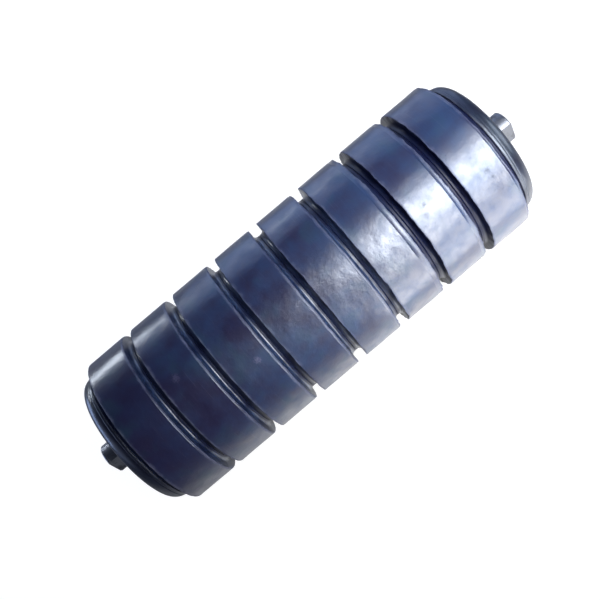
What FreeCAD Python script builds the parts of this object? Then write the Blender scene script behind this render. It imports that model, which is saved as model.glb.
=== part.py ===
import FreeCAD, Part
import os
import Sketcher

# An impact idler: rubber rings on a steel tube that turns on a fixed shaft.
# Millimetres. The shaft lies along Y with its middle at the origin, and +Z is up.

os.makedirs("parts", exist_ok=True)
doc = FreeCAD.newDocument("impact_idler")

# Driving dimensions
SIZES = {
    # rubber rings and end collars
    "ring_count": 8,
    "ring_diameter": 133,
    "ring_pitch": 42,
    "tread_width": 33.5,
    "boss_diameter": 116,
    "tread_edge_radius": 1.5,
    "groove_root_radius": 1.5,
    "boss_edge_radius": 0.6,
    "collar_diameter": 118,
    "collar_width": 12,
    "collar_land": 1,
    "collar_inner_radius": 0.8,
    # shell tube
    "tube_diameter": 89,
    "tube_wall": 4,
    "tube_chamfer": 0.8,
    # shaft
    "shaft_diameter": 25,
    "shaft_overhang": 21,
    "shaft_chamfer": 1,
    "flats_across": 18,
    "flats_length": 14,
    "centre_hole_diameter": 6,
    "centre_hole_depth": 5,
    # deep-groove ball bearings
    "bearing_diameter": 52,
    "bearing_width": 15,
    "bearing_chamfer": 0.8,
    "ball_count": 9,
    "ball_diameter": 7.94,
    "ball_clearance": 0.12,
    "race_curvature": 0.52,
    "shoulder_depth": 1.9,
    "cage_wall": 2.4,
    "cage_open_side": 2.4,
    "cage_closed_side": 5.2,
    "pocket_clearance": 0.12,
    # pressed bearing housings
    "housing_sheet": 3,
    "housing_recess": 3,
    "housing_skirt": 15,
    "housing_lip": 4.5,
    "housing_bend": 3,
    "mouth_radius": 1.5,
    # seals
    "seal_depth": 12.5,
    "seal_hub_wall": 2.5,
    "seal_gap": 0.8,
    "seal_end_gap": 1,
    "seal_fin": 1.2,
    "seal_plate": 2.4,
    "seal_disc": 2,
    "seal_sleeve": 1.2,
    "plate_recess": 1,
    "grease_seal_length": 6,
    "grease_seal_disc": 2.4,
    # dust covers
    "cover_gap": 0.6,
    "cover_overlap": 4.5,
    "cover_thickness": 1.5,
    "cover_rim_width": 3,
    "cover_rim_height": 0.9,
    # circlips
    "circlip_thickness": 1.2,
    "circlip_play": 0.1,
    "circlip_groove_depth": 0.55,
    "circlip_thin": 1.6,
    "circlip_thick": 3.2,
    "circlip_opening": 4,
    "circlip_lug_radius": 2.6,
    "circlip_hole": 2,
}

sheet = doc.addObject("Spreadsheet::Sheet", "dims")
for row, (alias, number) in enumerate(SIZES.items(), start=1):
    sheet.set(f"A{row}", alias)
    sheet.set(f"B{row}", str(number))
    sheet.setAlias(f"B{row}", alias)
doc.recompute()

# Places along the shaft, measured outwards from the middle
STACK_END = "(dims.ring_count * dims.ring_pitch / 2)"
TUBE_END = f"({STACK_END} + dims.collar_width)"
SHAFT_END = f"({TUBE_END} + dims.shaft_overhang)"
FLATS_START = f"({SHAFT_END} - dims.flats_length)"
HOUSING_FACE = f"({TUBE_END} - dims.housing_recess)"
WEB_BACK = f"({HOUSING_FACE} - dims.housing_sheet)"
BEARING_FRONT = f"({HOUSING_FACE} - dims.seal_depth)"
BEARING_BACK = f"({BEARING_FRONT} - dims.bearing_width)"
BEARING_MIDDLE = f"({BEARING_FRONT} - dims.bearing_width / 2)"
LIP_BACK = f"({BEARING_BACK} - dims.housing_sheet)"
PLATE_FRONT = f"({HOUSING_FACE} - dims.plate_recess)"
PLATE_BACK = f"({PLATE_FRONT} - dims.seal_plate)"
DISC_BACK = f"({BEARING_FRONT} + dims.seal_end_gap)"
DISC_FRONT = f"({DISC_BACK} + dims.seal_disc)"
COVER_BACK = f"({HOUSING_FACE} + dims.cover_gap)"
COVER_FRONT = f"({COVER_BACK} + dims.cover_thickness)"
CIRCLIP_FRONT = f"({COVER_FRONT} + dims.circlip_thickness)"

# Radii from the shaft outwards
SHAFT_R = "(dims.shaft_diameter / 2)"
GROOVE_R = f"({SHAFT_R} - dims.circlip_groove_depth)"
HUB_R = f"({SHAFT_R} + dims.seal_hub_wall)"
BEARING_R = "(dims.bearing_diameter / 2)"
BALL_R = "(dims.ball_diameter / 2)"
PITCH_R = f"(({SHAFT_R} + {BEARING_R}) / 2)"
BALL_REACH = f"({BALL_R} + dims.ball_clearance)"
RACE_R = "(dims.race_curvature * dims.ball_diameter + dims.ball_clearance)"
LIP_R = f"({BEARING_R} - dims.housing_lip)"
CUP_R = f"({BEARING_R} + dims.housing_sheet)"
COVER_R = f"({BEARING_R} + dims.cover_overlap)"
TUBE_R = "(dims.tube_diameter / 2)"
TUBE_BORE_R = f"({TUBE_R} - dims.tube_wall)"
SKIRT_R = f"({TUBE_BORE_R} - dims.housing_sheet)"
BOSS_R = "(dims.boss_diameter / 2)"
TREAD_R = "(dims.ring_diameter / 2)"
COLLAR_R = "(dims.collar_diameter / 2)"

# Turn about Z that carries each end's pieces to their side
SIDES = {"right": 0, "left": 180}
EDGE_MATCH = 1e-4
sub_parts = []


def size(expression):
    """The number that an expression of the sheet gives now."""
    return float(sheet.evalExpression(expression))


def new_body(label, turn=0):
    """A body that is one sub-part, turned about Z to its end of the shaft."""
    body = doc.addObject("PartDesign::Body", label)
    body.Label = label
    body.Placement = FreeCAD.Placement(FreeCAD.Vector(), FreeCAD.Rotation(FreeCAD.Vector(0, 0, 1), turn))
    sub_parts.append(body)
    return body


def new_sketch(body, name, role="XY_Plane"):
    """A sketch on one of the body's own origin planes."""
    sketch = body.newObject("Sketcher::SketchObject", name)
    plane = next(feature for feature in body.Origin.OriginFeatures if feature.Role == role)
    sketch.AttachmentSupport = [(plane, "")]
    sketch.MapMode = "FlatFace"
    return sketch


def bind_point(sketch, geometry, position, across, along):
    """Tie a sketch point to two expressions, measured from the sketch's origin."""
    for kind, axis, expression in (("DistanceX", -2, across), ("DistanceY", -1, along)):
        if expression == "0":
            sketch.addConstraint(Sketcher.Constraint("PointOnObject", geometry, position, axis))
            continue
        index = sketch.addConstraint(
            Sketcher.Constraint(kind, -1, 1, geometry, position, size(expression))
        )
        sketch.setExpression(f"Constraints[{index}]", expression)


def add_polygon(sketch, corners):
    """A closed run of straight lines through (across, along) expressions."""
    points = [FreeCAD.Vector(size(across), size(along), 0) for across, along in corners]
    first = sketch.GeometryCount
    for index, start in enumerate(points):
        end = points[(index + 1) % len(points)]
        sketch.addGeometry(Part.LineSegment(start, end), False)
    for index, (across, along) in enumerate(corners):
        following = (index + 1) % len(corners)
        sketch.addConstraint(Sketcher.Constraint("Coincident", first + index, 2, first + following, 1))
        bind_point(sketch, first + index, 1, across, along)


def add_circle(sketch, across, along, radius):
    """A circle whose centre and radius are expressions."""
    centre = FreeCAD.Vector(size(across), size(along), 0)
    index = sketch.GeometryCount
    sketch.addGeometry(Part.Circle(centre, FreeCAD.Vector(0, 0, 1), size(radius)), False)
    bind_point(sketch, index, 3, across, along)
    constraint = sketch.addConstraint(Sketcher.Constraint("Radius", index, size(radius)))
    sketch.setExpression(f"Constraints[{constraint}]", radius)


def turn_profile(body, name, corners, kind="Revolution"):
    """Turn one or more (radius, place) outlines about the shaft's line, adding or cutting."""
    sketch = new_sketch(body, f"{name}_profile")
    for outline in corners:
        add_polygon(sketch, outline)
    return turn_sketch(body, name, sketch, kind)


def turn_sketch(body, name, sketch, kind):
    """Turn a sketch once round the shaft's line."""
    feature = body.newObject(f"PartDesign::{kind}", name)
    feature.Profile = sketch
    feature.ReferenceAxis = (sketch, ["V_Axis"])
    feature.Angle = 360
    doc.recompute()
    return feature


def round_edges(body, name, spots, radius, kind="Fillet"):
    """Fillet or chamfer the circular edges that lie at the given (radius, place) spots."""
    base = body.Tip
    wanted = [(size(across), size(along)) for across, along in spots]
    names = []
    for number, edge in enumerate(base.Shape.Edges, start=1):
        if not isinstance(edge.Curve, Part.Circle):
            continue
        for across, along in wanted:
            off = max(abs(edge.Curve.Radius - across), abs(edge.Curve.Center.y - along))
            if off < EDGE_MATCH:
                names.append(f"Edge{number}")
    feature = body.newObject(f"PartDesign::{kind}", name)
    feature.Base = (base, names)
    feature.setExpression("Radius" if kind == "Fillet" else "Size", radius)
    doc.recompute()
    return feature


def rectangle(inner, outer, back, front):
    """The four corners of a plain ring's section."""
    return [(inner, back), (outer, back), (outer, front), (inner, front)]


def make_shaft():
    """Drawn bar with end flats for the frame's slots, circlip grooves and turning centres."""
    body = new_body("shaft")
    end_r = f"({SHAFT_R} - dims.shaft_chamfer)"
    chamfer_start = f"({SHAFT_END} - dims.shaft_chamfer)"
    bar = [
        ("0", f"-{SHAFT_END}"),
        (end_r, f"-{SHAFT_END}"),
        (SHAFT_R, f"-{chamfer_start}"),
        (SHAFT_R, chamfer_start),
        (end_r, SHAFT_END),
        ("0", SHAFT_END),
    ]
    turn_profile(body, "bar", [bar])

    groove_end = f"({CIRCLIP_FRONT} + dims.circlip_play)"
    beyond = f"({SHAFT_R} + dims.circlip_groove_depth)"
    grooves = [
        rectangle(GROOVE_R, beyond, COVER_FRONT, groove_end),
        rectangle(GROOVE_R, beyond, f"-{groove_end}", f"-{COVER_FRONT}"),
    ]
    turn_profile(body, "circlip_grooves", grooves, "Groove")

    hole_r = "(dims.centre_hole_diameter / 2)"
    hole_tip = f"({SHAFT_END} - dims.centre_hole_depth)"
    centres = [
        [("0", hole_tip), (hole_r, SHAFT_END), ("0", SHAFT_END)],
        [("0", f"-{hole_tip}"), (hole_r, f"-{SHAFT_END}"), ("0", f"-{SHAFT_END}")],
    ]
    turn_profile(body, "turning_centres", centres, "Groove")

    flat = "(dims.flats_across / 2)"
    clear = f"({SHAFT_R} + dims.shaft_chamfer)"
    past_end = f"({SHAFT_END} + dims.shaft_chamfer)"
    sketch = new_sketch(body, "flats_outline")
    add_polygon(sketch, rectangle(flat, clear, FLATS_START, past_end))
    add_polygon(sketch, rectangle(f"-{clear}", f"-{flat}", FLATS_START, past_end))
    add_polygon(sketch, rectangle(flat, clear, f"-{past_end}", f"-{FLATS_START}"))
    add_polygon(sketch, rectangle(f"-{clear}", f"-{flat}", f"-{past_end}", f"-{FLATS_START}"))
    flats = body.newObject("PartDesign::Pocket", "flats")
    flats.Profile = sketch
    flats.Midplane = True
    flats.setExpression("Length", "2 * dims.shaft_diameter")
    doc.recompute()


def make_tube():
    """Steel shell tube, chamfered outside at both ends for the weld."""
    body = new_body("shell_tube")
    turn_profile(body, "tube", [rectangle(TUBE_BORE_R, TUBE_R, f"-{TUBE_END}", TUBE_END)])
    ends = [(TUBE_R, TUBE_END), (TUBE_R, f"-{TUBE_END}")]
    round_edges(body, "end_chamfers", ends, "dims.tube_chamfer", "Chamfer")


def make_rubber_ring(number):
    """Moulded rubber ring: a wide tread on a hub whose bosses meet the next ring's."""
    body = new_body(f"rubber_ring_{number}")
    body.setExpression(
        "Placement.Base.y", f"dims.ring_pitch * ({number} - (dims.ring_count + 1) / 2)"
    )
    hub = "(dims.ring_pitch / 2)"
    tread = "(dims.tread_width / 2)"
    section = [
        (TUBE_R, f"-{hub}"),
        (BOSS_R, f"-{hub}"),
        (BOSS_R, f"-{tread}"),
        (TREAD_R, f"-{tread}"),
        (TREAD_R, tread),
        (BOSS_R, tread),
        (BOSS_R, hub),
        (TUBE_R, hub),
    ]
    turn_profile(body, "ring", [section])
    round_edges(body, "tread_edges", [section[3], section[4]], "dims.tread_edge_radius")
    round_edges(body, "groove_roots", [section[2], section[5]], "dims.groove_root_radius")
    round_edges(body, "boss_edges", [section[1], section[6]], "dims.boss_edge_radius")


def make_end_collar(side, turn):
    """Moulded end ring with a round shoulder, beside the last rubber ring."""
    body = new_body(f"end_collar_{side}", turn)
    turn_profile(body, "collar", [rectangle(TUBE_R, COLLAR_R, STACK_END, TUBE_END)])
    shoulder = f"min(dims.collar_width; {COLLAR_R} - {TUBE_R}) - dims.collar_land"
    round_edges(body, "shoulder", [(COLLAR_R, TUBE_END)], shoulder)
    round_edges(body, "inner_edge", [(COLLAR_R, STACK_END)], "dims.collar_inner_radius")


def make_housing(side, turn):
    """Pressed-steel housing: a skirt in the tube, a web, and a deep cup for the bearing."""
    body = new_body(f"bearing_housing_{side}", turn)
    skirt_end = f"({HOUSING_FACE} - dims.housing_skirt)"
    pressing = [
        (BEARING_R, HOUSING_FACE),
        (TUBE_BORE_R, HOUSING_FACE),
        (TUBE_BORE_R, skirt_end),
        (SKIRT_R, skirt_end),
        (SKIRT_R, WEB_BACK),
        (CUP_R, WEB_BACK),
        (CUP_R, LIP_BACK),
        (LIP_R, LIP_BACK),
        (LIP_R, BEARING_BACK),
        (BEARING_R, BEARING_BACK),
    ]
    turn_profile(body, "pressing", [pressing])
    round_edges(body, "outer_bends", [pressing[1], pressing[6]], "dims.housing_bend")
    round_edges(body, "mouth", [pressing[0], pressing[4], pressing[5]], "dims.mouth_radius")


def make_race(side, turn, name, inner, outer, groove_centre):
    """One bearing ring with its ball groove and chamfered corners."""
    body = new_body(f"bearing_{name}_race_{side}", turn)
    turn_profile(body, "ring", [rectangle(inner, outer, BEARING_BACK, BEARING_FRONT)])
    seat = inner if name == "inner" else outer
    corners = [(seat, BEARING_BACK), (seat, BEARING_FRONT)]
    round_edges(body, "corners", corners, "dims.bearing_chamfer", "Chamfer")
    sketch = new_sketch(body, "ball_groove_circle")
    add_circle(sketch, groove_centre, BEARING_MIDDLE, RACE_R)
    turn_sketch(body, "ball_groove", sketch, "Groove")


def make_bearing(side, turn):
    """Deep-groove ball bearing: two races, a ball set and a snap cage."""
    inner_shoulder = f"({PITCH_R} - {BALL_R} + dims.shoulder_depth)"
    outer_shoulder = f"({PITCH_R} + {BALL_R} - dims.shoulder_depth)"
    inner_groove = f"({PITCH_R} - {BALL_REACH} + {RACE_R})"
    outer_groove = f"({PITCH_R} + {BALL_REACH} - {RACE_R})"
    make_race(side, turn, "inner", SHAFT_R, inner_shoulder, inner_groove)
    make_race(side, turn, "outer", outer_shoulder, BEARING_R, outer_groove)
    make_balls(side, turn)
    make_cage(side, turn)


def make_balls(side, turn):
    """The ball set, evenly spaced on the pitch circle."""
    side_sign = "-" if turn else ""
    balls = []
    for number in range(int(sheet.ball_count)):
        ball = doc.addObject("Part::Sphere", f"ball_{side}_{number + 1}")
        angle = f"360 deg / dims.ball_count * {number}"
        ball.setExpression("Radius", BALL_R)
        ball.setExpression("Placement.Base.x", f"{PITCH_R} * cos({angle})")
        ball.setExpression("Placement.Base.y", f"{side_sign}{BEARING_MIDDLE}")
        ball.setExpression("Placement.Base.z", f"{PITCH_R} * sin({angle})")
        balls.append(ball)
    group = doc.addObject("Part::Compound", f"bearing_balls_{side}")
    group.Label = f"bearing_balls_{side}"
    group.Links = balls
    sub_parts.append(group)


def make_cage(side, turn):
    """Moulded snap cage: a plain ring with one open round pocket for each ball."""
    body = new_body(f"bearing_cage_{side}", turn)
    inner = f"({PITCH_R} - dims.cage_wall / 2)"
    outer = f"({PITCH_R} + dims.cage_wall / 2)"
    back = f"({BEARING_MIDDLE} - dims.cage_closed_side)"
    front = f"({BEARING_MIDDLE} + dims.cage_open_side)"
    turn_profile(body, "ring", [rectangle(inner, outer, back, front)])
    circle = new_sketch(body, "pocket_circle", "YZ_Plane")
    add_circle(circle, BEARING_MIDDLE, "0", f"({BALL_R} + dims.pocket_clearance)")
    pocket = body.newObject("PartDesign::Pocket", "pocket")
    pocket.Profile = circle
    # The first pocket lies on the +X side at both ends, where the first ball is.
    pocket.Reversed = turn == 0
    pocket.setExpression("Length", outer)
    doc.recompute()
    pockets = body.newObject("PartDesign::PolarPattern", "pockets")
    pockets.Originals = [pocket]
    pockets.Axis = (body.Origin.OriginFeatures[1], [""])
    pockets.Angle = 360
    pockets.setExpression("Occurrences", "dims.ball_count")
    body.Tip = pockets
    doc.recompute()


def make_labyrinth(side, turn):
    """Labyrinth seal: fins on the still half stand between those on the turning half."""
    sleeve_bore = f"({BEARING_R} - dims.seal_sleeve)"
    plate_bore = f"({HUB_R} + dims.seal_gap)"
    disc_r = f"({sleeve_bore} - dims.seal_gap)"
    inner_fin = f"({HUB_R} + ({disc_r} - {HUB_R}) / 4)"
    inner_fin_outer = f"({inner_fin} + dims.seal_fin)"
    outer_fin = f"({disc_r} - dims.seal_fin)"
    middle_fin = f"(({inner_fin_outer} + {outer_fin} - dims.seal_fin) / 2)"
    middle_fin_outer = f"({middle_fin} + dims.seal_fin)"
    still_fin_tip = f"({PLATE_BACK} - dims.seal_end_gap)"
    turning_fin_tip = f"({DISC_FRONT} + dims.seal_end_gap)"

    still = new_body(f"labyrinth_inner_{side}", turn)
    still_section = [
        (SHAFT_R, BEARING_FRONT),
        (HUB_R, BEARING_FRONT),
        (HUB_R, DISC_BACK),
        (disc_r, DISC_BACK),
        (disc_r, still_fin_tip),
        (outer_fin, still_fin_tip),
        (outer_fin, DISC_FRONT),
        (inner_fin_outer, DISC_FRONT),
        (inner_fin_outer, still_fin_tip),
        (inner_fin, still_fin_tip),
        (inner_fin, DISC_FRONT),
        (HUB_R, DISC_FRONT),
        (HUB_R, COVER_BACK),
        (SHAFT_R, COVER_BACK),
    ]
    turn_profile(still, "still_half", [still_section])

    turning = new_body(f"labyrinth_outer_{side}", turn)
    turning_section = [
        (BEARING_R, BEARING_FRONT),
        (BEARING_R, PLATE_FRONT),
        (plate_bore, PLATE_FRONT),
        (plate_bore, PLATE_BACK),
        (middle_fin, PLATE_BACK),
        (middle_fin, turning_fin_tip),
        (middle_fin_outer, turning_fin_tip),
        (middle_fin_outer, PLATE_BACK),
        (sleeve_bore, PLATE_BACK),
        (sleeve_bore, BEARING_FRONT),
    ]
    turn_profile(turning, "turning_half", [turning_section])


def make_grease_seal(side, turn):
    """Seal ring behind the bearing: its disc closes the hole in the housing's lip."""
    body = new_body(f"grease_seal_{side}", turn)
    disc_r = f"({LIP_R} - dims.seal_gap)"
    back = f"({BEARING_BACK} - dims.grease_seal_length)"
    disc_front = f"({BEARING_BACK} - dims.seal_end_gap)"
    disc_back = f"({disc_front} - dims.grease_seal_disc)"
    section = [
        (SHAFT_R, BEARING_BACK),
        (HUB_R, BEARING_BACK),
        (HUB_R, disc_front),
        (disc_r, disc_front),
        (disc_r, disc_back),
        (HUB_R, disc_back),
        (HUB_R, back),
        (SHAFT_R, back),
    ]
    turn_profile(body, "seal", [section])


def make_dust_cover(side, turn):
    """Cover on the shaft that hides the housing's mouth, with a raised rim."""
    body = new_body(f"dust_cover_{side}", turn)
    rim_inner = f"({COVER_R} - dims.cover_rim_width)"
    rim_front = f"({COVER_FRONT} + dims.cover_rim_height)"
    section = [
        (SHAFT_R, COVER_BACK),
        (COVER_R, COVER_BACK),
        (COVER_R, rim_front),
        (rim_inner, rim_front),
        (rim_inner, COVER_FRONT),
        (SHAFT_R, COVER_FRONT),
    ]
    turn_profile(body, "cover", [section])
    edge = "dims.cover_rim_height / 2"
    round_edges(body, "rim_edges", [(COVER_R, rim_front), (rim_inner, rim_front)], edge)


def make_circlip(side, turn):
    """Stamped circlip in the shaft's groove: eccentric ring, opening and two lugs."""
    body = new_body(f"circlip_{side}", turn)
    # A sketch on the XZ plane faces the middle, so the left clip starts at its outer face.
    side_sign = "-" if turn else ""
    body.setExpression("Placement.Base.y", f"{side_sign}{CIRCLIP_FRONT}")
    outer_r = f"({GROOVE_R} + (dims.circlip_thin + dims.circlip_thick) / 2)"
    offset = "((dims.circlip_thick - dims.circlip_thin) / 2)"
    ring = new_sketch(body, "ring_outline", "XZ_Plane")
    add_circle(ring, "0", offset, outer_r)
    add_circle(ring, "0", "0", GROOVE_R)
    pad_circlip(body, "ring", ring)

    half_opening = "(dims.circlip_opening / 2)"
    opening = new_sketch(body, "opening_outline", "XZ_Plane")
    below = f"(-2 * {outer_r})"
    add_polygon(
        opening,
        [(f"-{half_opening}", below), (half_opening, below), (half_opening, "0"), (f"-{half_opening}", "0")],
    )
    cut = body.newObject("PartDesign::Pocket", "opening")
    cut.Profile = opening
    cut.Midplane = True
    cut.setExpression("Length", "4 * dims.circlip_thickness")
    doc.recompute()

    lugs = new_sketch(body, "lugs_outline", "XZ_Plane")
    lug_across = f"({half_opening} + dims.circlip_lug_radius)"
    lug_reach = f"({GROOVE_R} + dims.circlip_lug_radius)"
    lug_along = f"(-sqrt({lug_reach} ^ 2 - {lug_across} ^ 2))"
    for across in (lug_across, f"-{lug_across}"):
        add_circle(lugs, across, lug_along, "dims.circlip_lug_radius")
        add_circle(lugs, across, lug_along, "dims.circlip_hole / 2")
    pad_circlip(body, "lugs", lugs)


def pad_circlip(body, name, sketch):
    """Give a circlip outline the thickness of its sheet."""
    pad = body.newObject("PartDesign::Pad", name)
    pad.Profile = sketch
    pad.setExpression("Length", "dims.circlip_thickness")
    doc.recompute()


def check_and_write():
    """Stop at any faulty object, then write one file for each sub-part."""
    for item in doc.Objects:
        if "Invalid" in item.State or "Error" in item.State:
            raise RuntimeError(f"{item.Label} did not build: {item.State}")
    for item in sub_parts:
        if item.Shape.isNull() or not item.Shape.isValid():
            raise RuntimeError(f"{item.Label} has no valid shape")
        item.Shape.exportStep(f"parts/{item.Label}.step")
        print(f"{item.Label}: {item.Shape.Volume:.0f} mm3, {len(item.Shape.Solids)} solid(s)")


make_shaft()
make_tube()
for number in range(1, int(sheet.ring_count) + 1):
    make_rubber_ring(number)
for side, turn in SIDES.items():
    make_end_collar(side, turn)
    make_housing(side, turn)
    make_bearing(side, turn)
    make_labyrinth(side, turn)
    make_grease_seal(side, turn)
    make_dust_cover(side, turn)
    make_circlip(side, turn)
doc.recompute()
check_and_write()
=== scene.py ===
# %% [markdown]
# # An impact idler
# An impact idler is the roller that carries a conveyor belt where the load drops on it.
# Rubber rings are pressed on a steel tube, so that the belt lands on a spring and not on steel.
# The tube turns on two ball bearings around a shaft that stands still in the slots of its stand.
# The solid model is loaded as a fixed frame: each piece made below goes where its solid is.

# %% Load the solid model
import math

import bpy
from mathutils import Matrix, Vector


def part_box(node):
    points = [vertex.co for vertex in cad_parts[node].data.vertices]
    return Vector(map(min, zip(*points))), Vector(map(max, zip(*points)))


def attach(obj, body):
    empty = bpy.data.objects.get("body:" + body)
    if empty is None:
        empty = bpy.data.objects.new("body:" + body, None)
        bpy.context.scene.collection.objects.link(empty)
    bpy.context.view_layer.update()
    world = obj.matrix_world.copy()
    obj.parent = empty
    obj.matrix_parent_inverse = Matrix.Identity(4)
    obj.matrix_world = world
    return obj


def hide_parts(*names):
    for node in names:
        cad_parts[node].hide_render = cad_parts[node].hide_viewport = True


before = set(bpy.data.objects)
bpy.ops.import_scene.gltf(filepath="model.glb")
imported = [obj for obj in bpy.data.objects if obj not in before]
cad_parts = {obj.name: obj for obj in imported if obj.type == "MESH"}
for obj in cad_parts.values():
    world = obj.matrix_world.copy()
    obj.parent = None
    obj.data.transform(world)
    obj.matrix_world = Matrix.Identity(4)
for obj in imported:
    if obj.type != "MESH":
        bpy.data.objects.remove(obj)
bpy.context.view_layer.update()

MM = 0.001

# %% [markdown]
# ## Main sizes
# All sizes come from the frame where it has them: the ring's radius, the distance from ring to ring
# and the places of the rings along the shaft. They could be typed in again, but then a change of the
# solids would leave the looks behind.

# %% Read the main sizes from the frame
RING_COUNT = 8
RINGS = [f"rubber_ring_{number}" for number in range(1, RING_COUNT + 1)]

ring_low, ring_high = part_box(RINGS[0])
TREAD_RADIUS = round(ring_high.x, 4)
RING_PITCH = ring_high.y - ring_low.y
TUBE_RADIUS = round(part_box("shell_tube")[1].x, 4)
FLOOR_HEIGHT = -TREAD_RADIUS
print("tread radius", TREAD_RADIUS / MM, "pitch", round(RING_PITCH / MM, 2), "tube radius", TUBE_RADIUS / MM)

# %% [markdown]
# ## Camera
# The roller is seen from above its long side, square to the shaft, and the picture is turned so that
# the right end points up. A camera could be aimed with a constraint, but its turn about the view line
# matters here, so its three axes are worked out and set as a matrix.
# The roller's middle sits a few pixels off the middle of the picture, so the aim point is moved by that.

# %% Set the camera
CAMERA_HEIGHT_ANGLE = math.radians(50)
PICTURE_TURN = math.radians(40.28)
CAMERA_DISTANCE = 9.5 * TREAD_RADIUS
PICTURE_SIZE = 600
LENS = 48.77
SENSOR = 36.0
MIDDLE_OFF_CENTRE = (7.6, 7.3)

shaft_line = Vector((0, 1, 0))
towards_camera = Vector((math.cos(CAMERA_HEIGHT_ANGLE), 0, math.sin(CAMERA_HEIGHT_ANGLE)))
uphill = Vector((-math.sin(CAMERA_HEIGHT_ANGLE), 0, math.cos(CAMERA_HEIGHT_ANGLE)))
picture_right = math.cos(PICTURE_TURN) * shaft_line - math.sin(PICTURE_TURN) * uphill
picture_up = math.sin(PICTURE_TURN) * shaft_line + math.cos(PICTURE_TURN) * uphill

pixel = CAMERA_DISTANCE * SENSOR / LENS / PICTURE_SIZE
aim = -MIDDLE_OFF_CENTRE[0] * pixel * picture_right - MIDDLE_OFF_CENTRE[1] * pixel * picture_up
eye = CAMERA_DISTANCE * towards_camera
back = (eye - aim).normalized()
right = picture_up.cross(back).normalized()
up = back.cross(right)

scene = bpy.context.scene
camera = bpy.data.objects.new("camera", bpy.data.cameras.new("camera"))
camera.data.lens = LENS
camera.data.sensor_width = SENSOR
camera.matrix_world = Matrix.Translation(eye) @ Matrix((right, up, back)).transposed().to_4x4()
scene.collection.objects.link(camera)
scene.camera = camera
scene.view_settings.view_transform = "Standard"
print("camera at", [round(c, 3) for c in eye], "one pixel is", round(pixel / MM, 2), "mm at the shaft")

# %% [markdown]
# ## Helpers for node trees
# Materials and Geometry Nodes are both trees of nodes, so one small function adds a node to either.
# An input takes a plain value, another node, which links its first live output, or one chosen output.
# Colours are written as the hex values a paint program shows, and the shader wants linear light.

# %% Define the node and colour helpers


def add_node(tree, kind, inputs=None, **settings):
    """Add one node to a tree, with its settings, values and links."""
    node = tree.nodes.new(kind)
    for name, value in settings.items():
        setattr(node, name, value)
    for name, value in (inputs or {}).items():
        if isinstance(name, int):
            socket = node.inputs[name]
        else:
            socket = next(s for s in node.inputs if s.name == name and s.enabled)
        if isinstance(value, bpy.types.Node):
            value = next(s for s in value.outputs if s.enabled)
        if isinstance(value, bpy.types.NodeSocket):
            tree.links.new(value, socket)
        else:
            socket.default_value = value
    return node


def linear(hex_colour):
    """Turn an sRGB hex colour into linear light, as the shader sockets want it."""
    channels = [int(hex_colour[place:place + 2], 16) / 255 for place in (1, 3, 5)]
    light = [c / 12.92 if c <= 0.04045 else ((c + 0.055) / 1.055) ** 2.4 for c in channels]
    return (*light, 1.0)


def new_material(name):
    """A new material, its tree to fill, and the object's own coordinates as the place for its noise."""
    material = bpy.data.materials.new(name)
    material.use_nodes = True
    tree = material.node_tree
    tree.nodes.clear()
    place = add_node(tree, "ShaderNodeTexCoord").outputs["Object"]
    return material, tree, place


print("mid grey in linear light:", round(linear("#808080")[0], 3))

# %% [markdown]
# ## Floor
# The roller lies on a plain pale floor, one large sheet of paper.

# %% Lay the floor
FLOOR_SIZE = 40.0

half = FLOOR_SIZE / 2
corners = [(-half, -half), (half, -half), (half, half), (-half, half)]
floor_mesh = bpy.data.meshes.new("floor")
floor_mesh.from_pydata([(x, y, FLOOR_HEIGHT) for x, y in corners], [], [(0, 1, 2, 3)])
floor = bpy.data.objects.new("floor", floor_mesh)
scene.collection.objects.link(floor)
print("floor at", round(FLOOR_HEIGHT / MM, 1), "mm")

# %% [markdown]
# ## White paper
# To the camera the paper is white. Stronger lamps could do that, but they would turn the black rubber grey,
# so the Light Path node lets the paper glow for the camera's rays alone. It still takes real light, which
# keeps the soft shadow. Shiny rubber mirrors the paper too: for glossy rays it glows where the light falls
# on it, in front of the roller and more towards the right end, and hardly anywhere else.

# %% Make the paper white for the camera
PAPER_GREY = "#898989"
GLOW_NEAR = 0.91
GLOW_FAR = 1.0
NEAR_AND_FAR = (0.6, 1.6)

floor_paper, tree, place = new_material("white_paper_floor")
rays = add_node(tree, "ShaderNodeLightPath")
spot = add_node(tree, "ShaderNodeSeparateXYZ", {"Vector": place})
distance = add_node(tree, "ShaderNodeVectorMath", {0: place}, operation="LENGTH")
seen = add_node(tree, "ShaderNodeMath", {
    0: rays.outputs["Is Camera Ray"], 1: rays.outputs["Is Transmission Ray"]}, operation="MAXIMUM")
white = add_node(tree, "ShaderNodeMapRange", {
    "Value": distance, "From Min": NEAR_AND_FAR[0], "From Max": NEAR_AND_FAR[1],
    "To Min": GLOW_NEAR, "To Max": GLOW_FAR})
seen = add_node(tree, "ShaderNodeMath", {0: seen, 1: white}, operation="MULTIPLY")
print("paper glow near and far:", GLOW_NEAR, GLOW_FAR)

# %% Let the paper glow where the rubber mirrors it
# Each row: a way to measure, from where to where in metres, and how bright at both ends.
MIRRORED_GLOW = (
    (spot.outputs["Y"], -0.20, 0.20, 0.22, 2.0),
    (spot.outputs["X"], 0.03, 0.065, 0.25, 1.0),
    (spot.outputs["X"], 0.08, 0.18, 1.0, 0.08),
    (distance, 0.21, 0.36, 1.0, 0.1),
)
mirrored = rays.outputs["Is Glossy Ray"]
for measure, start, end, bright_at_start, bright_at_end in MIRRORED_GLOW:
    share = add_node(tree, "ShaderNodeMapRange", {
        "Value": measure, "From Min": start, "From Max": end,
        "To Min": bright_at_start, "To Max": bright_at_end})
    mirrored = add_node(tree, "ShaderNodeMath", {0: mirrored, 1: share}, operation="MULTIPLY")
strength = add_node(tree, "ShaderNodeMath", {0: seen, 1: mirrored}, operation="MAXIMUM")
glow = add_node(tree, "ShaderNodeEmission", {"Color": linear("#ffffff"), "Strength": strength})
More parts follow.
